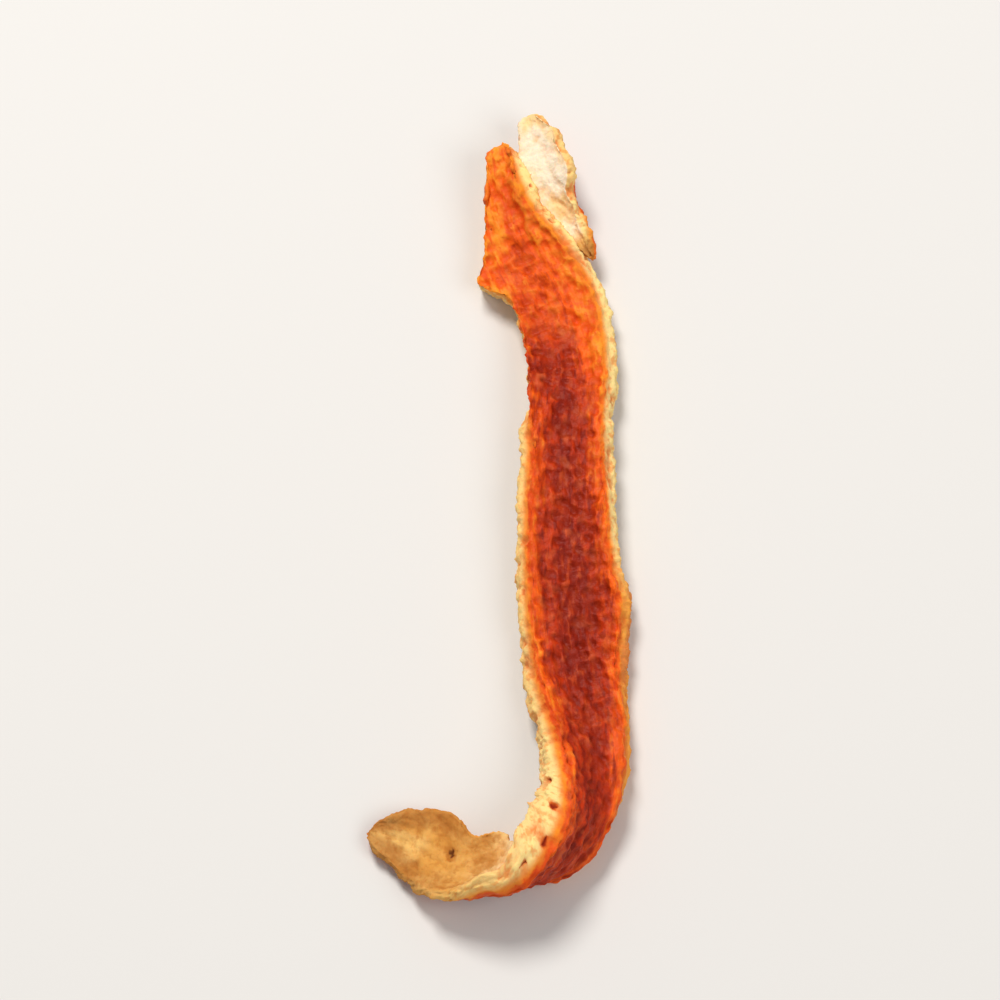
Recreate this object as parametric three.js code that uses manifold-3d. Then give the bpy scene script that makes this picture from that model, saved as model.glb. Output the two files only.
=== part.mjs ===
// One strip of dried orange peel, as cut from the fruit with its pith and curled in drying.
// It lies with the rind up along most of its length. One end is split, and its loose half has
// turned over to show the pith. The other end rolls onto its edge, bends round into a hook and
// finishes as a tail with the pith up.
// Millimetres, +Z up. It rests on z = 0, and the origin is below the middle of its box.
import * as THREE from "three";
import { mergeVertices } from "three/addons/utils/BufferGeometryUtils.js";
import Module from "manifold-3d";

// Driving dimensions, in millimetres and degrees
const CUT_FLARE = 0.85; // how far the knife-cut sides spread outwards below the rind
const CUT_TUCK = 0.3; // how far they draw in again at the pith's lower edge
const WIDEST_AT = 0.55; // share of the thickness, from the rind, where the strip is widest
const CUT_OPENS_FROM = 18.2; // up to here the left side is upright, and it spreads
const CUT_OPENS_TO = 19.4; // fully from here on
const GROOVE_DEPTH = 0.42; // the rind sinks along its middle
const PITH_HOLLOW = 0.22; // the pith's inner face is slightly hollow
const GLAND_SPACING = 0.95; // oil glands, which roughen the rind and open along its cut sides
const TOOTH_HEIGHT = 0.2; // ragged teeth along the cut sides
const MARGIN_BUMP = 0.14; // bumps along the rind's two margins
const RIND_DIMPLE = 0.09;
const PITH_LUMP = 0.16;
const PITH_LUMP_LENGTH = 1.7;
const END_ROUNDING = 1.1; // length over which each end closes
const END_SHRINK = 0.45; // how far the section shrinks there
const FLOOR_SINK = 0.25; // what the floor flattens of the lowest spots

// The strip from its split end to its tail. At each station: the middle of the peel, how far
// the rind is rolled from facing up towards the outside of the hook, the reach of the strip
// to its two sides, with the outside of the hook on the right, its thickness, and how far its
// sides cup towards the pith.
const STRIP = [
  { x: -1.8, y: 22.8, z: 2.5, roll: -16, left: 0.8, right: 0.8, thick: 2, cup: 0 },
  { x: -1.2, y: 19.9, z: 2.15, roll: -18, left: 1.45, right: 1.4, thick: 2.2, cup: 0 },
  { x: -0.6, y: 17.7, z: 1.8, roll: -14, left: 2.2, right: 2.1, thick: 2.3, cup: 0.1 },
  { x: 0.5, y: 15.3, z: 1.5, roll: -8, left: 2.4, right: 2.7, thick: 2.3, cup: 0.1 },
  { x: 1.7, y: 12.5, z: 1.25, roll: -5, left: 2.6, right: 2.95, thick: 2.3, cup: 0 },
  { x: 2.5, y: 8.6, z: 1.45, roll: -3, left: 2.7, right: 2.6, thick: 2.3, cup: -0.1 },
  { x: 2.3, y: 4.6, z: 1.85, roll: 0, left: 2.95, right: 2.55, thick: 2.3, cup: -0.15 },
  { x: 2.1, y: -0.8, z: 1.9, roll: 1, left: 3.1, right: 3, thick: 2.3, cup: -0.15 },
  { x: 2.2, y: -6.2, z: 1.65, roll: 2, left: 3.2, right: 3.15, thick: 2.4, cup: -0.15 },
  { x: 2.6, y: -11, z: 1.4, roll: 6, left: 3.2, right: 3.1, thick: 2.4, cup: -0.1 },
  { x: 3.2, y: -16, z: 2.1, roll: 22, left: 2.85, right: 2.8, thick: 2.3, cup: 0.1 },
  { x: 2.75, y: -20.05, z: 2.7, roll: 48, left: 2.7, right: 2.65, thick: 2.5, cup: 0.5 },
  { x: 0.8, y: -22.95, z: 2.85, roll: 80, left: 2.6, right: 2.8, thick: 2.6, cup: 0.9 },
  { x: -1.4, y: -23.95, z: 2.3, roll: 124, left: 2.6, right: 2.9, thick: 1.9, cup: 0.8 },
  { x: -3.8, y: -23.2, z: 1.35, roll: 160, left: 2.8, right: 2.7, thick: 1.3, cup: 0.4 },
  { x: -6.4, y: -21.8, z: 0.9, roll: 182, left: 2.4, right: 2.9, thick: 1.15, cup: 0 },
  { x: -9.7, y: -20.7, z: 0.85, roll: 190, left: 0.8, right: 1.15, thick: 1, cup: -0.1 },
];
const STRIP_STEPS = 136;

// The half of the split end that turned over. It holds to the side of the other half, its tip
// reaches past the end of the strip, and a narrow sliver hangs free at its other end.
const FLAP = [
  { x: -0.2, y: 24.8, z: 2.6, roll: 160, left: 0.8, right: 0.95, thick: 1.5, cup: 0 },
  { x: 0.6, y: 22.3, z: 2.45, roll: 151, left: 1.7, right: 1.5, thick: 1.8, cup: 0.1 },
  { x: 1.3, y: 20.2, z: 2.25, roll: 143, left: 2.1, right: 1.4, thick: 1.7, cup: 0.1 },
  { x: 2.4, y: 18.2, z: 2, roll: 136, left: 1, right: 0.8, thick: 1.2, cup: 0.1 },
  { x: 3.6, y: 15.8, z: 1.8, roll: 132, left: 0.5, right: 0.4, thick: 0.8, cup: 0 },
];
const FLAP_STEPS = 24;

// Where a side of the turned half stands out or steps in: how far along, over what span, how far
const FLAP_SWELLINGS = [
  { side: -1, at: 1.7, span: 0.6, reach: 0.4 }, // a shoulder below the tip
  { side: -1, at: 5.6, span: 0.6, reach: -0.55 }, // where the broad part steps in to the sliver
];

// The same for the strip itself, by its left side, -1, and its right side, 1
const SWELLINGS = [
  { side: -1, at: 7.4, span: 1, reach: 1.8 }, // a torn lobe beside the split end
  { side: -1, at: 17.7, span: 1, reach: -0.3 }, // the waist before the broad stretch
  { side: -1, at: 19.5, span: 0.5, reach: 0.3 }, // a tooth where the cut side opens
  { side: 1, at: 30.6, span: 2.4, reach: 0.5 }, // the margin that stands out
  { side: 1, at: 50.7, span: 0.5, reach: -0.7 }, // the tail's far edge: a notch,
  { side: 1, at: 52, span: 0.6, reach: 1 }, // a small lobe,
  { side: 1, at: 53.6, span: 0.8, reach: -0.75 }, // and a step down to the broad end
];

const RIND_SEGMENTS = 12;
const CUT_SEGMENTS = 5;
const PITH_SEGMENTS = 10;

// A repeatable value from -1 to 1 for a whole number.
function chance(n) {
  const v = Math.sin(n * 127.1 + 311.7) * 43758.5453;
  return 2 * (v - Math.floor(v)) - 1;
}

// Smooth unevenness over a plane, one random value for each whole number each way.
function uneven(x, y, seed) {
  const i = Math.floor(x);
  const j = Math.floor(y);
  const ease = (f) => f * f * (3 - 2 * f);
  const fx = ease(x - i);
  const fy = ease(y - j);
  const corner = (a, b) => chance((i + a) * 17 + (j + b) * 389 + seed * 1013);
  const near = corner(0, 0) * (1 - fx) + corner(1, 0) * fx;
  const far = corner(0, 1) * (1 - fx) + corner(1, 1) * fx;
  return near * (1 - fy) + far * fy;
}

// How far a side stands out past its stations at a distance s from the first one.
function swelling(swellings, side, s) {
  const share = ({ at, span, reach }) => reach * Math.exp(-(((s - at) / span) ** 2));
  return swellings.filter((w) => w.side === side).reduce((sum, w) => sum + share(w), 0);
}

// One knife-cut side: points from below the rind's margin to above the pith's lower edge,
// as distances out from the margin and down from the rind.
function cutSide(s, seed, thickness, flare) {
  const points = [];
  for (let k = 0; k <= CUT_SEGMENTS; k++) {
    const depth = k / CUT_SEGMENTS;
    const above = Math.min(depth / WIDEST_AT, 1);
    const below = Math.max((depth - WIDEST_AT) / (1 - WIDEST_AT), 0);
    const spread = flare * Math.sin((above * Math.PI) / 2) - CUT_TUCK * below ** 2;
    const tooth = TOOTH_HEIGHT * uneven(s / (0.6 * GLAND_SPACING), 2.4 * depth, seed);
    const out = spread + tooth * Math.sin(Math.PI * (0.15 + 0.7 * depth));
    points.push({ out, down: thickness * depth });
  }
  return points;
}

// The closed section at a distance s along the strip, as [across, up from the middle].
function section(s, left, right, thickness, opened, seed) {
  const top = thickness / 2;
  const rightFlare = Math.min(CUT_FLARE, (left + right) / 4);
  const leftFlare = rightFlare * opened;
  const leftMargin = leftFlare - left;
  const rightMargin = right - rightFlare;
  const middle = (leftMargin + rightMargin) / 2;
  const half = (rightMargin - leftMargin) / 2;
  const groove = GROOVE_DEPTH * Math.min(half / 2, 1);
  const points = [];
  for (let k = 0; k <= RIND_SEGMENTS; k++) {
    const q = (2 * k) / RIND_SEGMENTS - 1;
    const across = middle + half * q;
    const bump = MARGIN_BUMP * q ** 2 * uneven(s / (0.7 * GLAND_SPACING), q, seed + 1);
    const dimple = RIND_DIMPLE * uneven(s / GLAND_SPACING, across / GLAND_SPACING, seed + 2);
    points.push([across, top - groove * (1 - q ** 2) + bump + dimple * (1 - q ** 4)]);
  }
  const rightCut = cutSide(s, seed + 3, thickness, rightFlare);
  rightCut.slice(1).forEach(({ out, down }) => points.push([rightMargin + out, top - down]));
  const lowRight = points.at(-1)[0];
  const leftCut = cutSide(s, seed + 4, thickness, leftFlare);
  const lowLeft = leftMargin - leftCut.at(-1).out;
  for (let k = 1; k < PITH_SEGMENTS; k++) {
    const share = k / PITH_SEGMENTS;
    const across = lowRight + (lowLeft - lowRight) * share;
    const hollow = PITH_HOLLOW * Math.sin(Math.PI * share);
    const lump = PITH_LUMP * uneven(s / PITH_LUMP_LENGTH, across / PITH_LUMP_LENGTH, seed + 5);
    points.push([across, -top + hollow + lump * Math.sin(Math.PI * share)]);
  }
  leftCut.slice(1).reverse().forEach(({ out, down }) => points.push([leftMargin - out, top - down]));
  return points;
}

// How far the left side of the strip has opened at a distance s: not at all is 0, fully is 1.
function stripOpening(s) {
  return THREE.MathUtils.smoothstep(s, CUT_OPENS_FROM, CUT_OPENS_TO);
}

// A closed strip of peel swept through stations. Its rings are even along its length.
function peelGeometry(stations, steps, seed, swellings, opening) {
  const middle = new THREE.CatmullRomCurve3(stations.map((p) => new THREE.Vector3(p.x, p.y, p.z)));
  middle.curveType = "catmullrom";
  const lean = new THREE.SplineCurve(stations.map((p) => new THREE.Vector2(p.roll, p.thick)));
  const reach = new THREE.SplineCurve(stations.map((p) => new THREE.Vector2(p.left, p.right)));
  const bow = new THREE.SplineCurve(stations.map((p, i) => new THREE.Vector2(i, p.cup)));
  const length = middle.getLength();
  const positions = [];
  const triangles = [];
  const up = new THREE.Vector3(0, 0, 1);
  let count = 0;
  for (let i = 0; i <= steps; i++) {
    const s = (length * i) / steps;
    const t = middle.getUtoTmapping(i / steps);
    const centre = middle.getPoint(t);
    const tangent = middle.getTangent(t);
    const side = new THREE.Vector3().crossVectors(up, tangent).normalize();
    const lift = new THREE.Vector3().crossVectors(tangent, side);
    const { x: roll, y: thickness } = lean.getPoint(t);
    const { x: left, y: right } = reach.getPoint(t);
    const cup = bow.getPoint(t).y;
    const angle = THREE.MathUtils.degToRad(roll);
    const normal = lift.clone().multiplyScalar(Math.cos(angle)).addScaledVector(side, Math.sin(angle));
    const across = side.clone().multiplyScalar(Math.cos(angle)).addScaledVector(lift, -Math.sin(angle));
    const fromEnd = Math.min(s, length - s);
    const closing = Math.max(1 - fromEnd / END_ROUNDING, 0);
    const shrink = 1 - END_SHRINK * (1 - Math.sqrt(1 - closing ** 2));
    const leftReach = left + swelling(swellings, -1, s);
    const rightReach = right + swelling(swellings, 1, s);
    const ring = section(s, leftReach, rightReach, thickness, opening(s), seed);
    count = ring.length;
    ring.forEach(([w, n]) => {
      const bent = n - cup * ((2 * w) / (leftReach + rightReach)) ** 2;
      const p = centre.clone().addScaledVector(across, w * shrink).addScaledVector(normal, bent * shrink);
      positions.push(p.x, p.y, p.z);
    });
  }
  for (let i = 0; i < steps; i++) {
    for (let k = 0; k < count; k++) {
      const a = i * count + k;
      const b = i * count + ((k + 1) % count);
      triangles.push(a, b + count, b, a, a + count, b + count);
    }
  }
  // Each end is closed by a fan round the middle of its ring.
  [0, steps].forEach((i) => {
    const centre = middle.getPoint(i === 0 ? 0 : 1);
    const hub = positions.length / 3;
    positions.push(centre.x, centre.y, centre.z);
    for (let k = 0; k < count; k++) {
      const a = i * count + k;
      const b = i * count + ((k + 1) % count);
      triangles.push(...(i === 0 ? [hub, a, b] : [hub, b, a]));
    }
  });
  const geometry = new THREE.BufferGeometry();
  geometry.setAttribute("position", new THREE.Float32BufferAttribute(positions, 3));
  geometry.setIndex(triangles);
  return geometry;
}

const wasm = await Module();
wasm.setup();

function solidOf(geometry) {
  geometry.deleteAttribute("normal");
  geometry.deleteAttribute("uv");
  const merged = mergeVertices(geometry, 1e-4);
  const vertProperties = new Float32Array(merged.attributes.position.array);
  const triVerts = new Uint32Array(merged.index.array);
  return new wasm.Manifold(new wasm.Mesh({ numProp: 3, vertProperties, triVerts }));
}

function geometryOf(solid) {
  const mesh = solid.getMesh();
  const geometry = new THREE.BufferGeometry();
  geometry.setAttribute("position", new THREE.Float32BufferAttribute(mesh.vertProperties, 3));
  geometry.setIndex(new THREE.BufferAttribute(mesh.triVerts, 1));
  return geometry;
}

// The strip and its loose half are one piece of peel, flattened where it rests.
const strip = solidOf(peelGeometry(STRIP, STRIP_STEPS, 1, SWELLINGS, stripOpening));
const flap = solidOf(peelGeometry(FLAP, FLAP_STEPS, 20, FLAP_SWELLINGS, () => 1));
const whole = geometryOf(strip.add(flap));
whole.computeBoundingBox();
const box = whole.boundingBox;
const middle = box.getCenter(new THREE.Vector3());
whole.translate(-middle.x, -middle.y, -box.min.z - FLOOR_SINK);

const FLOOR_BLOCK = 200;
const floor = new THREE.BoxGeometry(FLOOR_BLOCK, FLOOR_BLOCK, FLOOR_BLOCK);
floor.translate(0, 0, -FLOOR_BLOCK / 2);
const resting = geometryOf(solidOf(whole).subtract(solidOf(floor)));
resting.computeVertexNormals();

const peel = new THREE.MeshStandardMaterial({ color: 0xc9551c, roughness: 0.62, metalness: 0 });
const peelStrip = new THREE.Mesh(resting, peel);
peelStrip.name = "peel_strip";

const driedPeel = new THREE.Group();
driedPeel.add(peelStrip);

export default driedPeel;
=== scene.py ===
from collections import namedtuple
from math import cos, radians, sin
from types import SimpleNamespace

import bpy
import numpy as np
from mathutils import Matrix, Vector
from mathutils.kdtree import KDTree


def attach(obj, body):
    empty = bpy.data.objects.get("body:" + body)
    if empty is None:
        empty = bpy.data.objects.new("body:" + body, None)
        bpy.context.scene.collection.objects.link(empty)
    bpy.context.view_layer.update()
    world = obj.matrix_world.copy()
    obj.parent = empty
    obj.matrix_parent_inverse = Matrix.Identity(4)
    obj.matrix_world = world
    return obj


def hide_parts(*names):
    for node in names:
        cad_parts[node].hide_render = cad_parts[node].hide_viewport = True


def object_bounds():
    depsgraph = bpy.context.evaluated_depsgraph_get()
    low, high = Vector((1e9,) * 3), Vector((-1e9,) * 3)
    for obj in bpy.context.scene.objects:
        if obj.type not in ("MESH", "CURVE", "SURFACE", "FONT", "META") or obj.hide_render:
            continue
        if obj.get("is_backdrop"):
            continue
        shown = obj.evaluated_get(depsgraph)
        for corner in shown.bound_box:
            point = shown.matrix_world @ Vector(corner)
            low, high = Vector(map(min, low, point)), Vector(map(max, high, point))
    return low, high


MM = 0.001

# Sizes shared with the solid, in millimetres and degrees
CUT_FLARE = 0.85  # the knife-cut sides spread outwards below the rind
CUT_TUCK = 0.3  # and draw in again at the pith's lower edge
WIDEST_AT = 0.55  # share of the thickness, from the rind, where the strip is widest
CUT_OPENS = (18.2, 19.4)  # the left side is upright before this stretch, and spreads after it
GROOVE_DEPTH = 0.42  # the rind sinks along its middle
GROOVE_WIDTH = 4  # and less where it is narrower than this
PITH_HOLLOW = 0.22  # the pith's inner face is slightly hollow
END_ROUNDING = 1.1  # length over which each end closes
END_SHRINK = 0.45  # how far the section shrinks there
FLOOR_SINK = 0.25  # what the table flattens of the lowest spots

# x, y and z of the middle of the peel, its roll from rind up towards the outside of the hook,
# its reach to the left and right, its thickness, and how far its sides cup towards the pith
STRIP = [
    (-1.8, 22.8, 2.5, -16, 0.8, 0.8, 2.0, 0),
    (-1.2, 19.9, 2.15, -18, 1.45, 1.4, 2.2, 0),
    (-0.6, 17.7, 1.8, -14, 2.2, 2.1, 2.3, 0.1),
    (0.5, 15.3, 1.5, -8, 2.4, 2.7, 2.3, 0.1),
    (1.7, 12.5, 1.25, -5, 2.6, 2.95, 2.3, 0),
    (2.5, 8.6, 1.45, -3, 2.7, 2.6, 2.3, -0.1),
    (2.3, 4.6, 1.85, 0, 2.95, 2.55, 2.3, -0.15),
    (2.1, -0.8, 1.9, 1, 3.1, 3.0, 2.3, -0.15),
    (2.2, -6.2, 1.65, 2, 3.2, 3.15, 2.4, -0.15),
    (2.6, -11.0, 1.4, 6, 3.2, 3.1, 2.4, -0.1),
    (3.2, -16.0, 2.1, 22, 2.85, 2.8, 2.3, 0.1),
    (2.75, -20.05, 2.7, 48, 2.7, 2.65, 2.5, 0.5),
    (0.8, -22.95, 2.85, 80, 2.6, 2.8, 2.6, 0.9),
    (-1.4, -23.95, 2.3, 124, 2.6, 2.9, 1.9, 0.8),
    (-3.8, -23.2, 1.35, 160, 2.8, 2.7, 1.3, 0.4),
    (-6.4, -21.8, 0.9, 182, 2.4, 2.9, 1.15, 0),
    (-9.7, -20.7, 0.85, 190, 0.8, 1.15, 1.0, -0.1),
]

# The half of the split end that turned over
FLAP = [
    (-0.2, 24.8, 2.6, 160, 0.8, 0.95, 1.5, 0),
    (0.6, 22.3, 2.45, 151, 1.7, 1.5, 1.8, 0.1),
    (1.3, 20.2, 2.25, 143, 2.1, 1.4, 1.7, 0.1),
    (2.4, 18.2, 2.0, 136, 1.0, 0.8, 1.2, 0.1),
    (3.6, 15.8, 1.8, 132, 0.5, 0.4, 0.8, 0),
]

# Where a side stands out or steps in: side, distance from the first station, span and reach
FLAP_SWELLINGS = [
    (-1, 1.7, 0.6, 0.4),  # a shoulder below the tip
    (-1, 5.6, 0.6, -0.55),  # where the broad part steps in to the sliver
]
SWELLINGS = [
    (-1, 7.4, 1.0, 1.8),  # a torn lobe beside the split end
    (-1, 17.7, 1.0, -0.3),  # the waist before the broad stretch
    (-1, 19.5, 0.5, 0.3),  # a tooth where the cut side opens
    (1, 30.6, 2.4, 0.5),  # the margin that stands out
    (1, 50.7, 0.5, -0.7),  # the tail's far edge: a notch,
    (1, 52.0, 0.6, 1.0),  # a small lobe,
    (1, 53.6, 0.8, -0.75),  # and a step down to the broad end
]

# The flat shapes: cells across, along and down, and how crisp their long edges stay
STRIP_CELLS = (5, 72, 3)
FLAP_CELLS = (3, 16, 2)
SMOOTHING_LEVELS = 3
MARGIN_CREASE = 0.75
FOOT_CREASE = 0.5

# Relief of the dressed strip, finer than that of the solid: size, height, where it is, its
# stretch along the strip, and the kind of noise
RELIEF = {
    "lumps": (1.8, 0.3, "all", 1.0, "SOFT_NOISE"),
    "wrinkles": (0.75, 0.3, "rind", 3.5, "HARD_NOISE"),
    "pebbles": (0.42, 0.24, "rind", 1.0, "SOFT_NOISE"),
    "teeth": (0.95, 0.5, "cut", 1.0, "SOFT_NOISE"),
    "nibbles": (0.4, 0.22, "cut", 1.0, "SOFT_NOISE"),
    "creases": (1.5, 0.3, "pith", 1.6, "HARD_NOISE"),
    "sponge": (0.55, 0.2, "pith", 1.0, "SOFT_NOISE"),
    "crumb": (0.2, 0.12, "torn", 1.0, "SOFT_NOISE"),
}
FACING = (0.3, 0.8)  # how far a face looks up or down, from none of rind or pith to all of it

# Oil glands: dimples in the rind over them, and open pits where the knife cut through them
GLAND_SPACING = 0.95
GLAND_ROWS = 0.87  # of that spacing lies between two rows
GLAND_JITTER = 0.28  # of that spacing, each way
GLAND_SIZES = (0.7, 1.25)
GLAND_DEPTH = 0.5
GLAND_RADIUS = 0.27
GLAND_REACH = 0.3  # the deepest open pit
OPEN_SHARE = 0.35  # of the glands along a cut side are open
SHEET_REACH = 5  # the glands cover this much to each side
DIMPLE_DEPTH = 0.17
DIMPLE_RADIUS = 0.3
STRIP_GLAND_SEED = 3
FLAP_GLAND_SEED = 8

# Holes: across, along and up on the flat strip, and radius. The first three in the tail make one
# slit in its pith, and the large glands are in the cut side of the bend.
HOLE_DEPTH = 0.4
TAIL_HOLES = [
    (0.62, 54.35, -0.45, 0.3),
    (0.4, 54.15, -0.45, 0.28),
    (0.15, 54.05, -0.45, 0.2),
    (0.9, 52.3, -0.6, 0.2),
]
LARGE_GLANDS = [
    (-2.4, 44.9, 0.35, 0.32),
    (-2.25, 47.1, 0.7, 0.36),
    (-2.5, 48.6, 0.4, 0.26),
    (-2.6, 42.6, 0.0, 0.26),
]
HOLES = TAIL_HOLES + LARGE_GLANDS

# Colours of the rind as they look, 0 to 255. Where there are two, the first is for its orange
# margins and the second for its deep red middle, which is partly its own colour and partly
# painted shade of the groove.
MARGIN_YELLOW = (255, 152, 40)
MARGIN_ORANGE = (246, 98, 18)
RIND_RED = (198, 54, 8)
DEEP_RED = (148, 31, 4)
CLOUD_RED = (196, 60, 20)
DARK_FIBRE = ((232, 84, 12), (112, 14, 4))
LIGHT_FIBRE = (MARGIN_YELLOW, (208, 76, 26))
# pale spots: yellow-orange of its own on the margins, painted highlights on the deep red
RIND_PALE_AND_HIGHLIGHT = ((255, 160, 44), (220, 100, 52))
# dark spots of its own in the mottle and dimples, and painted shade in the rind's hollows
RIND_SPOT_AND_SHADE = ((226, 68, 10), (134, 28, 5))

# Colours of the cut sides and the pith. Where there are two, a pattern mixes them.
CUT_ORANGE = (250, 142, 40)
CUT_CREAM = (255, 222, 146)
CUT_FOOT = (252, 214, 142)
# painted shade: the left cut side dulled to orange over the first part of the strip
CUT_LEFT_SHADE = (246, 168, 84)
CUT_SPECK = (240, 140, 60)
# painted shade in the cut side's hollows
CUT_HOLLOW_SHADE = (226, 108, 40)
# the right cut side, more orange-ochre from about halfway along
CUT_RIGHT_OCHRE = ((246, 152, 40), (216, 108, 30))
CUT_TAIL = (240, 172, 76)
# painted shade: the cut side brown at the tail's tip
CUT_TIP_SHADE = (176, 110, 46)

PITH_PALE = (255, 236, 208)
PITH_CREAM = (252, 214, 152)
# painted shade in the pith's hollows
PITH_DIP_SHADE = (238, 178, 116)
PITH_AGED = ((242, 188, 94), (220, 152, 60))
TAIL_SPOT = (196, 122, 50)
# painted highlight on the tail's ridges
TAIL_RIDGE_HIGHLIGHT = (252, 214, 146)
# painted shade in the tail's hollows
TAIL_HOLLOW_SHADE = (178, 108, 40)
# painted shade along the edges of the tail's tip
TIP_EDGE_SHADE = (168, 100, 40)

# Rims and depths of open pits: in the cut sides, and in the tail. The darker floors are partly
# the glands' own brown-red and partly painted shade.
PIT_RIM = ((222, 98, 30), (196, 128, 56))
PIT_FLOOR = ((146, 40, 12), (112, 62, 24))
TABLE_GREY = (226, 224, 221)

# Stretches of the strip, as shares of its length: from where each starts to where it is full
SPLIT_END = (0.34, 0.17)
# painted shade: the rind's left margin turns deeper red over this stretch
LEFT_SHADE_START = (0.13, 0.18)
LEFT_SHADE_END = (0.31, 0.26)
THIN_CUT = (0.28, 0.2)
# where the painted shade on the left cut side fades out
LEFT_CUT_SHADE_STRETCH = (0.72, 0.6)
RIGHT_OCHRE_STRETCH = (0.42, 0.52)
TAIL = (0.8, 0.9)
# where the painted shade at the tail's tip comes in
TIP_SHADE_STRETCH = (0.87, 0.96)

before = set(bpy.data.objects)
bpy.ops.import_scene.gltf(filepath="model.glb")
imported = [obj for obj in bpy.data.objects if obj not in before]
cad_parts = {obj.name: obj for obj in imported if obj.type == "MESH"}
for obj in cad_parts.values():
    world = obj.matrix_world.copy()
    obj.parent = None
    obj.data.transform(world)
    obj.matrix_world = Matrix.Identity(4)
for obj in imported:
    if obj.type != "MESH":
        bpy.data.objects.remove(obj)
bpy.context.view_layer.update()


# Shape of the strip along its course

Course = namedtuple("Course", "stations lengths shares swellings opens")


def smoothstep(low, high, x):
    f = np.clip((x - low) / (high - low), 0, 1)
    return f * f * (3 - 2 * f)


def through(values, t, slope=False):
    """A smooth line through values, at shares t of the way along it."""
    padded = np.vstack([2 * values[0] - values[1], values, 2 * values[-1] - values[-2]])
    place = np.clip(t, 0, 1) * (len(values) - 1)
    i = np.minimum(place.astype(int), len(values) - 2)
    f = (place - i)[:, None]
    a, b, c, d = (padded[i + k] for k in range(4))
    second = 2 * a - 5 * b + 4 * c - d
    third = 3 * b - a - 3 * c + d
    if slope:
        return 0.5 * ((c - a) + 2 * second * f + 3 * third * f**2)
    return 0.5 * (2 * b + (c - a) * f + second * f**2 + third * f**3)


def measured(stations, swellings, opens):
    """The course through stations, with the length along it at even shares of the way."""
    values = np.array(stations, float)
    shares = np.linspace(0, 1, 4001)
    line = through(values[:, :3], shares)
    steps = np.linalg.norm(np.diff(line, axis=0), axis=1)
    return Course(values, np.concatenate([[0], np.cumsum(steps)]), shares, swellings, opens)


def sizes_at(course, s):
    """Roll, cup, and the sizes of the section, at distances s along a course."""
    t = np.interp(s, course.lengths, course.shares)
    roll, left, right, thick, cup = through(course.stations[:, 3:], t).T
    for side, at, span, reach in course.swellings:
        extra = reach * np.exp(-(((s - at) / span) ** 2))
        left = left + extra * (side < 0)
        right = right + extra * (side > 0)
    opened = smoothstep(*course.opens, s) if course.opens else 1
    return roll, cup, (left, right, thick, opened)


def section_at(q, depth, sizes):
    """Place across and up of a point q across the strip, -1 to 1, and a share of the way down."""
    left, right, thick, opened = sizes
    above = np.minimum(depth / WIDEST_AT, 1)
    below = np.maximum((depth - WIDEST_AT) / (1 - WIDEST_AT), 0)
    flare = np.minimum(CUT_FLARE, (left + right) / 4) * (1 - np.sin(above * np.pi / 2))
    tuck = CUT_TUCK * below**2
    low = flare * opened + tuck - left
    high = right - flare - tuck
    across = low + (high - low) * (q + 1) / 2
    groove = GROOVE_DEPTH * np.minimum((high - low) / GROOVE_WIDTH, 1)
    crown = 1 - q**2
    up = thick / 2 - thick * depth - groove * crown * (1 - depth) + PITH_HOLLOW * crown * depth
    return across, up


# Reading and changing a piece's mesh


def coords(piece):
    mesh = piece.data
    co = np.empty(len(mesh.vertices) * 3)
    mesh.vertices.foreach_get("co", co)
    return co.reshape(-1, 3)


def normals(piece):
    mesh = piece.data
    no = np.empty(len(mesh.vertices) * 3)
    mesh.vertices.foreach_get("normal", no)
    return no.reshape(-1, 3)


def set_coords(piece, co):
    piece.data.vertices.foreach_set("co", co.ravel())
    piece.data.update()


def keep(piece, name, values):
    """Stores a number or a vector for each vertex, which the material reads."""
    kind = "FLOAT_VECTOR" if values.ndim == 2 else "FLOAT"
    field = "vector" if values.ndim == 2 else "value"
    layer = piece.data.attributes.new(name, kind, "POINT")
    layer.data.foreach_set(field, values.astype(np.float32).ravel())


def apply(piece, modifier):
    bpy.context.view_layer.objects.active = piece
    bpy.ops.object.modifier_apply(modifier=modifier.name)


def face_outwards():
    """Turns the faces of the piece that is in edit mode outwards, and leaves edit mode."""
    bpy.ops.mesh.select_all(action="SELECT")
    bpy.ops.mesh.normals_make_consistent(inside=False)
    bpy.ops.object.mode_set(mode="OBJECT")


# The flat strip and its relief


def flat_strip(name, course, cells):
    """A flat strip, rind up: x across, y along and z up, with cells across, along and down."""
    across_cells, along_cells, layers = cells
    bpy.ops.object.select_all(action="DESELECT")
    bpy.ops.mesh.primitive_grid_add(x_subdivisions=across_cells, y_subdivisions=along_cells, size=2)
    sheet = bpy.context.active_object
    sheet.name = name
    bpy.ops.object.mode_set(mode="EDIT")
    bpy.ops.mesh.select_all(action="SELECT")
    for _ in range(layers):
        bpy.ops.mesh.extrude_region_move(TRANSFORM_OT_translate={"value": (0, 0, -1 / layers)})
    face_outwards()

    x, y, z = coords(sheet).T
    s = (y + 1) / 2 * course.lengths[-1]
    _, _, sizes = sizes_at(course, s)
    across, up = section_at(x, -z, sizes)
    at_side = np.abs(x) > 0.99
    margin = at_side & (z > -0.01)
    foot = at_side & (z < -0.99)
    set_coords(sheet, np.stack([across, s, up], axis=1))
    crease_line(sheet, margin, MARGIN_CREASE)
    crease_line(sheet, foot, FOOT_CREASE)

    smooth = sheet.modifiers.new("even skin", "SUBSURF")
    smooth.levels = smooth.render_levels = SMOOTHING_LEVELS
    apply(sheet, smooth)
    return sheet


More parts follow.
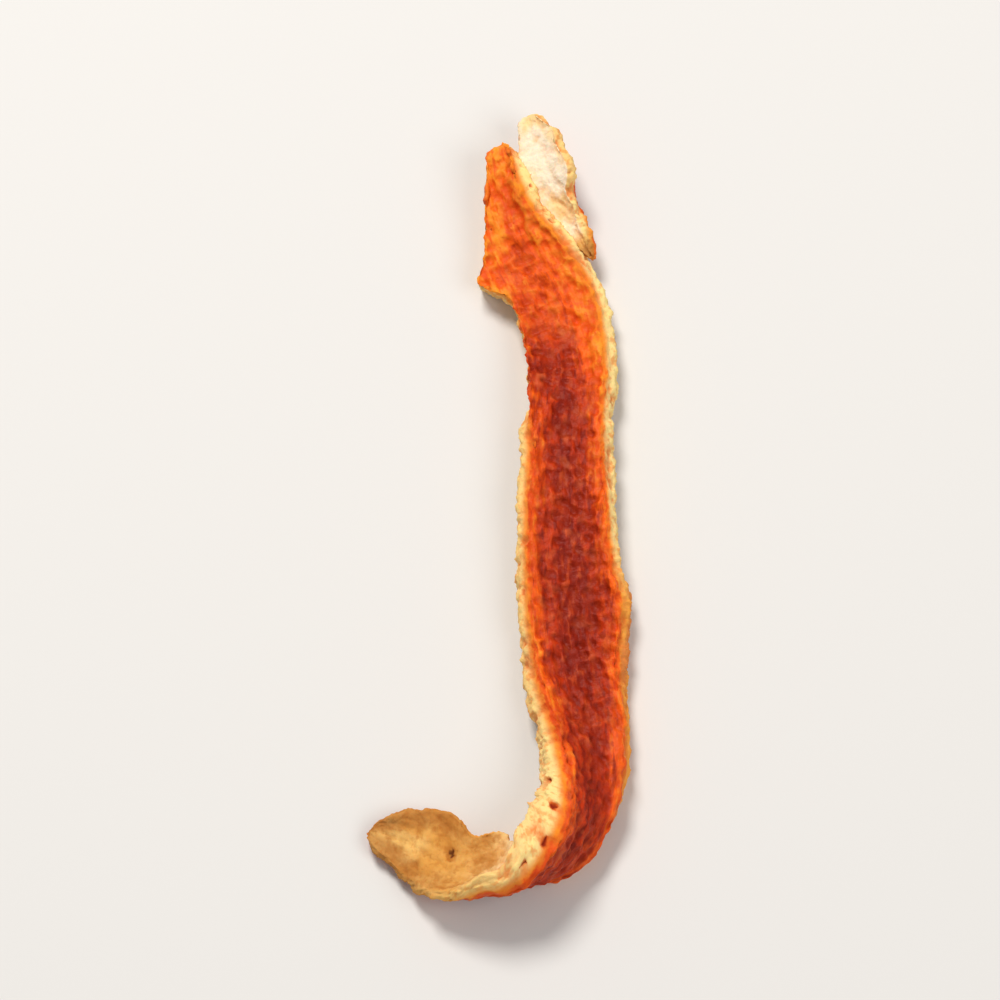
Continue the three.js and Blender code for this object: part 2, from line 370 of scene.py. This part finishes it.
def crease_line(piece, chosen, crease):
    """Makes the line of edges between chosen vertices crisper than the rest."""
    bpy.ops.object.mode_set(mode="EDIT")
    bpy.ops.mesh.select_all(action="DESELECT")
    bpy.ops.object.mode_set(mode="OBJECT")
    for edge in piece.data.edges:
        edge.select = bool(chosen[edge.vertices[0]] and chosen[edge.vertices[1]])
    bpy.ops.object.mode_set(mode="EDIT")
    bpy.ops.mesh.select_mode(type="EDGE")
    bpy.ops.transform.edge_crease(value=crease)
    bpy.ops.mesh.select_mode(type="VERT")
    bpy.ops.object.mode_set(mode="OBJECT")


def mark_layers(piece):
    """Vertex groups for rind, cut sides and pith, by the way the flat strip's surface faces."""
    facing = normals(piece)[:, 2]
    rind = smoothstep(*FACING, facing)
    pith = smoothstep(*FACING, -facing)
    shares = {"all": np.ones(len(rind)), "rind": rind, "pith": pith, "cut": 1 - rind - pith}
    shares["torn"] = shares["cut"] + pith
    for name, share in shares.items():
        group = piece.vertex_groups.new(name=name)
        for i in np.flatnonzero(share > 0.01):
            group.add([int(i)], float(share[i]), "REPLACE")
    return shares


def roughen(piece, name, size, height, group, stretch, kind):
    """Relief of that size and height, in millimetres, over a group of the piece's vertices."""
    pattern = bpy.data.textures.new(name, "CLOUDS")
    pattern.noise_scale = size
    pattern.noise_depth = 1
    pattern.noise_type = kind
    lengthwise = bpy.data.objects.new(name, None)
    bpy.context.scene.collection.objects.link(lengthwise)
    lengthwise.scale = (1, stretch, 1)
    bpy.context.view_layer.update()
    relief = piece.modifiers.new(name, "DISPLACE")
    relief.texture = pattern
    relief.texture_coords = "OBJECT"
    relief.texture_coords_object = lengthwise
    relief.mid_level = 0.5
    relief.strength = height
    relief.vertex_group = group
    apply(piece, relief)
    bpy.data.textures.remove(pattern)
    bpy.data.objects.remove(lengthwise)


def gland_centres(length, seed):
    """Oil glands: place across and along, size, and size if open, in a jittered pattern."""
    rng = np.random.default_rng(seed)
    rows = np.arange(-1, length + 1, GLAND_SPACING * GLAND_ROWS)
    columns = np.arange(-SHEET_REACH, SHEET_REACH, GLAND_SPACING)
    across, along = np.meshgrid(columns, rows)
    across = across + (np.arange(len(rows)) % 2)[:, None] * GLAND_SPACING / 2
    jitter = rng.uniform(-GLAND_JITTER, GLAND_JITTER, (2, *across.shape)) * GLAND_SPACING
    size = rng.uniform(*GLAND_SIZES, across.shape)
    opened = (rng.uniform(0, 1, across.shape) < OPEN_SHARE) * size
    place = [across + jitter[0], along + jitter[1]]
    return np.stack([*place, size, opened], axis=-1).reshape(-1, 4)


def open_glands(piece, shares, surface, seed):
    """Sinks the dimples and open pits: each vertex's share of a dimple, and of an open pit."""
    co, no = coords(piece), normals(piece)
    centres = gland_centres(co[:, 1].max(), seed)
    tree = KDTree(len(centres))
    for i, (across, along, _, _) in enumerate(centres):
        tree.insert((across, along, 0), i)
    tree.balance()
    nearest = np.array([tree.find((p[0], p[1], 0))[1] for p in co])
    centre = centres[nearest]
    aside = np.hypot(co[:, 0] - centre[:, 0], co[:, 1] - centre[:, 1])

    dimple = np.exp(-((aside / (DIMPLE_RADIUS * centre[:, 2])) ** 2)) * shares["rind"]
    co = co - no * (DIMPLE_DEPTH * dimple)[:, None]

    # A vertex of the cut side within an open gland moves inwards to the gland's far wall
    gland = np.column_stack([centre[:, :2], surface - GLAND_DEPTH])
    from_gland = co - gland
    radius = GLAND_RADIUS * centre[:, 3]
    inward = -no * np.array([1, 1, 0])
    inward /= np.maximum(np.linalg.norm(inward, axis=1), 1e-6)[:, None]
    ahead = np.einsum("ij,ij->i", from_gland, inward)
    inside = radius**2 - np.einsum("ij,ij->i", from_gland, from_gland)
    reach = np.where(inside > 0, -ahead + np.sqrt(np.maximum(ahead**2 + inside, 0)), 0)
    reach = np.clip(reach, 0, GLAND_REACH) * smoothstep(0.3, 0.9, shares["cut"])
    set_coords(piece, co + inward * reach[:, None])
    return dimple, smoothstep(0.03, 0.25, reach)


def sink_holes(piece, pit):
    """Sinks the holes, and adds them to the share of open pit at each vertex."""
    co, no = coords(piece), normals(piece)
    for across, along, up, radius in HOLES:
        away = np.linalg.norm(co - [across, along, up], axis=1) / radius
        share = np.exp(-(away**2))
        co = co - no * (HOLE_DEPTH * share)[:, None]
        pit = np.maximum(pit, smoothstep(0.3, 0.75, share))
    set_coords(piece, co)
    return pit


def lay_along(piece, course):
    """Bends the flat strip along its course, which rolls, cups and hooks it."""
    line = course.stations[:, :3]
    length = course.lengths[-1]
    w, along, n = coords(piece).T
    s = np.clip(along, 0, length)
    t = np.interp(s, course.lengths, course.shares)
    tangent = through(line, t, slope=True)
    tangent /= np.linalg.norm(tangent, axis=1)[:, None]
    side = np.cross([0, 0, 1], tangent)
    side /= np.linalg.norm(side, axis=1)[:, None]
    lift = np.cross(tangent, side)
    roll, cup, (left, right, _, _) = sizes_at(course, s)
    turn_cos = np.cos(np.radians(roll))[:, None]
    turn_sin = np.sin(np.radians(roll))[:, None]
    normal = lift * turn_cos + side * turn_sin
    across = side * turn_cos - lift * turn_sin
    closing = np.maximum(1 - np.minimum(s, length - s) / END_ROUNDING, 0)
    shrink = 1 - END_SHRINK * (1 - np.sqrt(1 - closing**2))
    bent = n - cup * (2 * w / (left + right)) ** 2
    centre = through(line, t) + tangent * (along - s)[:, None]
    set_coords(piece, centre + across * (w * shrink)[:, None] + normal * (bent * shrink)[:, None])
    bpy.context.view_layer.objects.active = piece
    bpy.ops.object.mode_set(mode="EDIT")
    face_outwards()


def peel(name, course, cells, seed):
    """A strip of peel with its relief, laid along its course, and what its material reads."""
    length = course.lengths[-1]
    piece = flat_strip(name, course, cells)
    flat = coords(piece)
    shares = mark_layers(piece)
    s = np.clip(flat[:, 1], 0, length)
    _, _, sizes = sizes_at(course, s)
    low, _ = section_at(-1, 0, sizes)
    high, _ = section_at(1, 0, sizes)
    q = np.clip((2 * flat[:, 0] - low - high) / (high - low), -1, 1)
    _, surface = section_at(q, 0, sizes)

    for relief_name, relief in RELIEF.items():
        roughen(piece, relief_name, *relief)
    dimple, pit = open_glands(piece, shares, surface, seed)
    pit = sink_holes(piece, pit)

    keep(piece, "sheet", flat)
    keep(piece, "below_rind", surface - flat[:, 2])
    keep(piece, "from_margin", np.minimum(flat[:, 0] - low, high - flat[:, 0]))
    keep(piece, "pith_share", shares["pith"])
    keep(piece, "dimple", dimple)
    keep(piece, "pit", pit)
    keep(piece, "relief", np.einsum("ij,ij->i", coords(piece) - flat, normals(piece)))
    keep(piece, "along", flat[:, 1] / length)
    lay_along(piece, course)
    return piece


strip_course = measured(STRIP, SWELLINGS, CUT_OPENS)
flap_course = measured(FLAP, FLAP_SWELLINGS, None)
strip = peel("dried_peel", strip_course, STRIP_CELLS, STRIP_GLAND_SEED)
flap = peel("turned_half", flap_course, FLAP_CELLS, FLAP_GLAND_SEED)

union = strip.modifiers.new("one piece", "BOOLEAN")
union.object = flap
union.operation = "UNION"
union.solver = "MANIFOLD"
apply(strip, union)
bpy.data.objects.remove(flap)

# It rests on the plane, with the middle of its box over the origin
co = coords(strip)
co[:, :2] -= (co[:, :2].min(axis=0) + co[:, :2].max(axis=0)) / 2
co[:, 2] = np.maximum(co[:, 2] - co[:, 2].min() - FLOOR_SINK, 0)
set_coords(strip, co * MM)
bpy.ops.object.select_all(action="DESELECT")
strip.select_set(True)
bpy.context.view_layer.objects.active = strip
bpy.ops.object.shade_smooth()


# Nodes of a material


def linear(level):
    """A level as it looks, 0 to 255, in the value that a shader takes."""
    share = level / 255
    if level <= 10:
        return share / 12.92
    return ((share + 0.055) / 1.055) ** 2.4


def shade(red, green, blue):
    return (linear(red), linear(green), linear(blue), 1.0)


def nodes_of(name):
    material = bpy.data.materials.new(name)
    material.use_nodes = True
    tree = material.node_tree
    return material, tree, tree.nodes["Principled BSDF"]


def read(tree, name, output="Fac"):
    node = tree.nodes.new("ShaderNodeAttribute")
    node.attribute_name = name
    return node.outputs[output]


def maths(tree, operation, first, second):
    node = tree.nodes.new("ShaderNodeMath")
    node.operation = operation
    for socket, value in zip(node.inputs, (first, second)):
        if isinstance(value, (int, float)):
            socket.default_value = value
        else:
            tree.links.new(value, socket)
    return node.outputs[0]


def plus(tree, first, second):
    return maths(tree, "ADD", first, second)


def minus(tree, first, second):
    return maths(tree, "SUBTRACT", first, second)


def times(tree, first, second):
    return maths(tree, "MULTIPLY", first, second)


def between(tree, value, low, high, to_low=0.0, to_high=1.0):
    """Maps low to high onto to_low to to_high, and holds it there."""
    node = tree.nodes.new("ShaderNodeMapRange")
    node.interpolation_type = "SMOOTHSTEP"
    tree.links.new(value, node.inputs["Value"])
    node.inputs["From Min"].default_value = low
    node.inputs["From Max"].default_value = high
    node.inputs["To Min"].default_value = to_low
    node.inputs["To Max"].default_value = to_high
    return node.outputs["Result"]


def blend(tree, share, first, second):
    """A mix of two colours, each a node's output or a colour as it looks."""
    node = tree.nodes.new("ShaderNodeMix")
    node.data_type = "RGBA"
    sockets = [node.inputs[0], node.inputs[6], node.inputs[7]]
    for socket, value in zip(sockets, (share, first, second)):
        if isinstance(value, (int, float)):
            socket.default_value = value
        elif isinstance(value, tuple):
            socket.default_value = shade(*value)
        else:
            tree.links.new(value, socket)
    return node.outputs[2]


def grain(tree, size, stretch=(1, 1, 1), detail=3.0, rough=0.55):
    """Noise of that size in millimetres, over the flat strip: across, along and up."""
    place = tree.nodes.new("ShaderNodeMapping")
    place.inputs["Scale"].default_value = [1 / (size * k) for k in stretch]
    tree.links.new(read(tree, "sheet", "Vector"), place.inputs["Vector"])
    noise = tree.nodes.new("ShaderNodeTexNoise")
    noise.inputs["Scale"].default_value = 1.0
    noise.inputs["Detail"].default_value = detail
    noise.inputs["Roughness"].default_value = rough
    tree.links.new(place.outputs["Vector"], noise.inputs["Vector"])
    return noise.outputs["Fac"]


def place_across(tree):
    """Distance across the flat strip from its middle line, to the right."""
    parts = tree.nodes.new("ShaderNodeSeparateXYZ")
    tree.links.new(read(tree, "sheet", "Vector"), parts.inputs["Vector"])
    return parts.outputs["X"]


# Material of the peel


def places_and_grains(tree):
    """Places on the strip, and grains, which the colours of rind, cut sides and pith share."""
    at = SimpleNamespace(
        below=read(tree, "below_rind"),
        inset=read(tree, "from_margin"),
        dimple=read(tree, "dimple"),
        pit=read(tree, "pit"),
        relief=read(tree, "relief"),
        pith_share=read(tree, "pith_share"),
        along=read(tree, "along"),
        aside=place_across(tree),
        mottle=grain(tree, 0.42, (1, 1.5, 1)),
        cloud=grain(tree, 2.4, (0.7, 1.6, 1), detail=1.0),
        speck=grain(tree, 0.45),
    )
    at.right = between(tree, at.aside, -0.5, 0.5)
    at.tail = between(tree, at.along, *TAIL)
    at.tip = between(tree, at.along, *TIP_SHADE_STRETCH)
    return at


def distance_inwards(tree, at):
    """How far inside the orange margins the rind's colour is, with wandering bounds, and further in
    where painted shade deepens the left margin.
    """
    fresh = between(tree, at.along, *SPLIT_END)
    streak = grain(tree, 0.9, (0.5, 3.0, 1), detail=4.0, rough=0.6)
    wander = times(tree, minus(tree, streak, 0.5), 2.8)
    inner = plus(tree, maths(tree, "MINIMUM", at.inset, 2.2), wander)
    inner = minus(tree, inner, times(tree, fresh, 1.55))
    # painted shade: deeper red along the left margin of the rind near the split end
    left_margin_shade = times(tree, between(tree, at.along, *LEFT_SHADE_START), between(tree, at.along, *LEFT_SHADE_END))
    left_margin_shade = times(tree, left_margin_shade, between(tree, at.aside, -0.4, -2.2))
    inner = plus(tree, inner, times(tree, left_margin_shade, 1.5))
    return maths(tree, "MINIMUM", inner, between(tree, fresh, 0.0, 1.0, 3.6, 0.3))


def rind_colour(tree, at):
    """Orange along the bumpy margins and the split end, deep red in the sunken middle: partly its own
    colour, partly painted shade of the groove.
    """
    inner = distance_inwards(tree, at)
    rind = blend(tree, between(tree, inner, -1.1, 0.1), MARGIN_YELLOW, MARGIN_ORANGE)
    rind = blend(tree, between(tree, inner, 0.2, 0.9), rind, RIND_RED)
    rind = blend(tree, between(tree, inner, 0.9, 1.9), rind, DEEP_RED)
    rind = blend(tree, between(tree, at.cloud, 0.5, 0.66, 0, 0.45), rind, CLOUD_RED)

    deep = between(tree, inner, -0.4, 1.0)
    fibre = grain(tree, 0.45, (0.8, 3.2, 1), detail=2.0)
    dark_fibre = blend(tree, deep, *DARK_FIBRE)
    light_fibre = blend(tree, deep, *LIGHT_FIBRE)
    rind = blend(tree, between(tree, fibre, 0.48, 0.34, 0, 0.7), rind, dark_fibre)
    rind = blend(tree, between(tree, fibre, 0.53, 0.66, 0, 0.65), rind, light_fibre)

    # pale spots: the rind's own yellow-orange on the margins, painted highlights on the deep red
    pale_and_highlight = blend(tree, deep, *RIND_PALE_AND_HIGHLIGHT)
    blob = grain(tree, 0.85, (1, 1.3, 1), detail=1.0)
    rind = blend(tree, between(tree, at.mottle, 0.6, 0.74, 0, 0.5), rind, pale_and_highlight)
    rind = blend(tree, between(tree, blob, 0.55, 0.8, 0, 0.6), rind, pale_and_highlight)

    spot_and_shade = blend(tree, deep, *RIND_SPOT_AND_SHADE)
    rind = blend(tree, between(tree, at.mottle, 0.47, 0.3, 0, 0.65), rind, spot_and_shade)
    rind = blend(tree, times(tree, at.dimple, 0.4), rind, spot_and_shade)
    # painted shade: the rind's hollows darker red
    return blend(tree, between(tree, at.relief, 0.0, -0.2, 0, 0.5), rind, spot_and_shade)


def cut_colour(tree, at):
    """Orange-yellow below the rind, cream lower down and ochre on the tail, with painted shade in the
    hollows, along the left side and at the tail's tip.
    """
    lower = plus(tree, at.below, times(tree, at.right, 0.2))
    cut = blend(tree, between(tree, lower, 0.35, 0.8), CUT_ORANGE, CUT_CREAM)
    cut = blend(tree, between(tree, at.below, 1.1, 2.0), cut, CUT_FOOT)

    left = minus(tree, 1.0, at.right)
    # painted shade on the left cut side, over the first part of the strip
    left_cut_shade = times(tree, between(tree, at.along, *LEFT_CUT_SHADE_STRETCH), left)
    cut = blend(tree, times(tree, left_cut_shade, 0.3), cut, CUT_LEFT_SHADE)
    # the right cut side turns orange-ochre from about halfway along the strip
    right_ochre = blend(tree, between(tree, at.cloud, 0.42, 0.58), *CUT_RIGHT_OCHRE)
    low_right = times(tree, at.right, between(tree, at.along, *RIGHT_OCHRE_STRETCH))
    cut = blend(tree, times(tree, low_right, 0.85), cut, right_ochre)

    cut = blend(tree, between(tree, at.speck, 0.5, 0.34, 0, 0.6), cut, CUT_SPECK)
    # painted shade: the cut side's hollows darker orange
    cut = blend(tree, between(tree, at.relief, 0.0, -0.22, 0, 0.75), cut, CUT_HOLLOW_SHADE)
    cut = blend(tree, times(tree, at.tail, 0.6), cut, CUT_TAIL)
    # painted shade: the cut side turns brown at the tail's tip
    return blend(tree, times(tree, at.tip, 0.75), cut, CUT_TIP_SHADE)


def pith_colour(tree, at):
    """Pale with cream patches and ochre all over towards the tail, with painted shade in the hollows
    and along the tip's edges, and painted highlights on the tail's ridges.
    """
    patch = grain(tree, 2.2, (1, 1.6, 1))
    pith = blend(tree, between(tree, patch, 0.42, 0.62), PITH_PALE, PITH_CREAM)
    # painted shade: the pith's hollows darker
    pith = blend(tree, between(tree, at.relief, -0.05, -0.25, 0, 0.7), pith, PITH_DIP_SHADE)

    aged = blend(tree, between(tree, patch, 0.4, 0.6), *PITH_AGED)
    pith = blend(tree, times(tree, at.tail, 0.9), pith, aged)
    spots = times(tree, between(tree, at.speck, 0.5, 0.3, 0, 0.6), at.tail)
    pith = blend(tree, spots, pith, TAIL_SPOT)
    # painted highlight: the tail's ridges paler
    ridges = times(tree, between(tree, at.relief, 0.05, 0.25, 0, 0.6), at.tail)
    pith = blend(tree, ridges, pith, TAIL_RIDGE_HIGHLIGHT)
    # painted shade: the tail's hollows brown
    hollows = times(tree, between(tree, at.relief, 0.0, -0.2, 0, 0.7), at.tail)
    pith = blend(tree, hollows, pith, TAIL_HOLLOW_SHADE)
    # painted shade: brown along the edges of the tail's tip
    tip_edge_shade = times(tree, between(tree, at.inset, 1.0, 0.2), at.tip)
    return blend(tree, times(tree, tip_edge_shade, 0.6), pith, TIP_EDGE_SHADE)


def depth_of_rind(tree, at):
    """Depth below the rind, unevenly, and more along the split end's right margin."""
    edge = plus(tree, at.below, times(tree, minus(tree, at.mottle, 0.5), 0.7))
    at_margin = between(tree, at.inset, 0.45, 0.1)
    thin = times(tree, between(tree, at.along, *THIN_CUT), at_margin)
    thin = times(tree, thin, at.right)
    return plus(tree, edge, times(tree, thin, 0.35))


def peel_material():
    material, tree, skin = nodes_of("dried_peel_skin")
    at = places_and_grains(tree)
    edge = depth_of_rind(tree, at)
    inside = blend(tree, at.pith_share, cut_colour(tree, at), pith_colour(tree, at))
    colour = blend(tree, between(tree, edge, 0.18, 0.42), rind_colour(tree, at), inside)
    rim = blend(tree, at.tail, *PIT_RIM)
    pit_floor = blend(tree, at.tail, *PIT_FLOOR)
    colour = blend(tree, between(tree, at.pit, 0.0, 0.5, 0, 0.8), colour, rim)
    # darker floors of pits and holes: partly their own brown-red, partly painted shade
    colour = blend(tree, between(tree, at.pit, 0.4, 1.0), colour, pit_floor)
    tree.links.new(colour, skin.inputs["Base Color"])

    gloss = between(tree, edge, 0.1, 0.4, 0.4, 0.86)
    roughness = plus(tree, gloss, times(tree, at.mottle, 0.1))
    tree.links.new(roughness, skin.inputs["Roughness"])
    bump = tree.nodes.new("ShaderNodeBump")
    bump.inputs["Strength"].default_value = 0.6
    bump.inputs["Distance"].default_value = 0.1 * MM
    fine = plus(tree, grain(tree, 0.16, detail=4.0), grain(tree, 0.4))
    tree.links.new(fine, bump.inputs["Height"])
    tree.links.new(bump.outputs["Normal"], skin.inputs["Normal"])
    skin.inputs["Subsurface Weight"].default_value = 0.15
    skin.inputs["Subsurface Radius"].default_value = (1.0, 0.45, 0.2)
    skin.inputs["Subsurface Scale"].default_value = 0.5 * MM
    skin.inputs["Specular IOR Level"].default_value = 0.16
    return material


strip.data.materials.clear()
strip.data.materials.append(peel_material())

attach(strip, "root")
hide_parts("peel_strip")


# Table, light and camera


def table_material():
    material, _, surface = nodes_of("pale_table")
    surface.inputs["Base Color"].default_value = shade(*TABLE_GREY)
    surface.inputs["Roughness"].default_value = 0.7
    return material


def soft_light(name, azimuth, elevation, distance, size, watts, colour):
    lamp = bpy.data.objects.new(name, bpy.data.lights.new(name, "AREA"))
    bpy.context.scene.collection.objects.link(lamp)
    a, e = radians(azimuth), radians(elevation)
    lamp.location = distance * Vector((sin(a) * cos(e), -cos(a) * cos(e), sin(e)))
    lamp.rotation_euler = lamp.location.to_track_quat("Z", "Y").to_euler()
    lamp.data.shape = "DISK"
    lamp.data.size = size
    lamp.data.energy = watts
    lamp.data.color = colour


bpy.ops.object.select_all(action="DESELECT")
bpy.ops.mesh.primitive_plane_add(size=4)
table = bpy.context.active_object
table.name = "table"
table.data.materials.append(table_material())
table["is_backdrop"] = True

soft_light(
    "window", azimuth=-156, elevation=56, distance=0.5, size=0.18, watts=2.0, colour=(1.0, 0.97, 0.93)
)
soft_light(
    "room", azimuth=60, elevation=50, distance=0.6, size=0.4, watts=1.1, colour=(1.0, 0.98, 0.96)
)

world = bpy.data.worlds.new("pale room")
bpy.context.scene.world = world
world.use_nodes = True
world.node_tree.nodes["Background"].inputs["Color"].default_value = (1.0, 1.0, 1.0, 1.0)
world.node_tree.nodes["Background"].inputs["Strength"].default_value = 0.3
bpy.context.scene.view_settings.view_transform = "Standard"

CAMERA_ELEVATION = 70
VIEW_HEIGHT = 60 * MM
camera = bpy.data.objects.new("camera", bpy.data.cameras.new("camera"))
bpy.context.scene.collection.objects.link(camera)
camera.data.lens = 300
camera.data.clip_start = 0.01
low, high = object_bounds()
back = Vector((0, -cos(radians(CAMERA_ELEVATION)), sin(radians(CAMERA_ELEVATION))))
distance = VIEW_HEIGHT * camera.data.lens / camera.data.sensor_width
camera.location = (low + high) / 2 + back * distance
camera.rotation_euler = back.to_track_quat("Z", "Y").to_euler()
bpy.context.scene.camera = camera
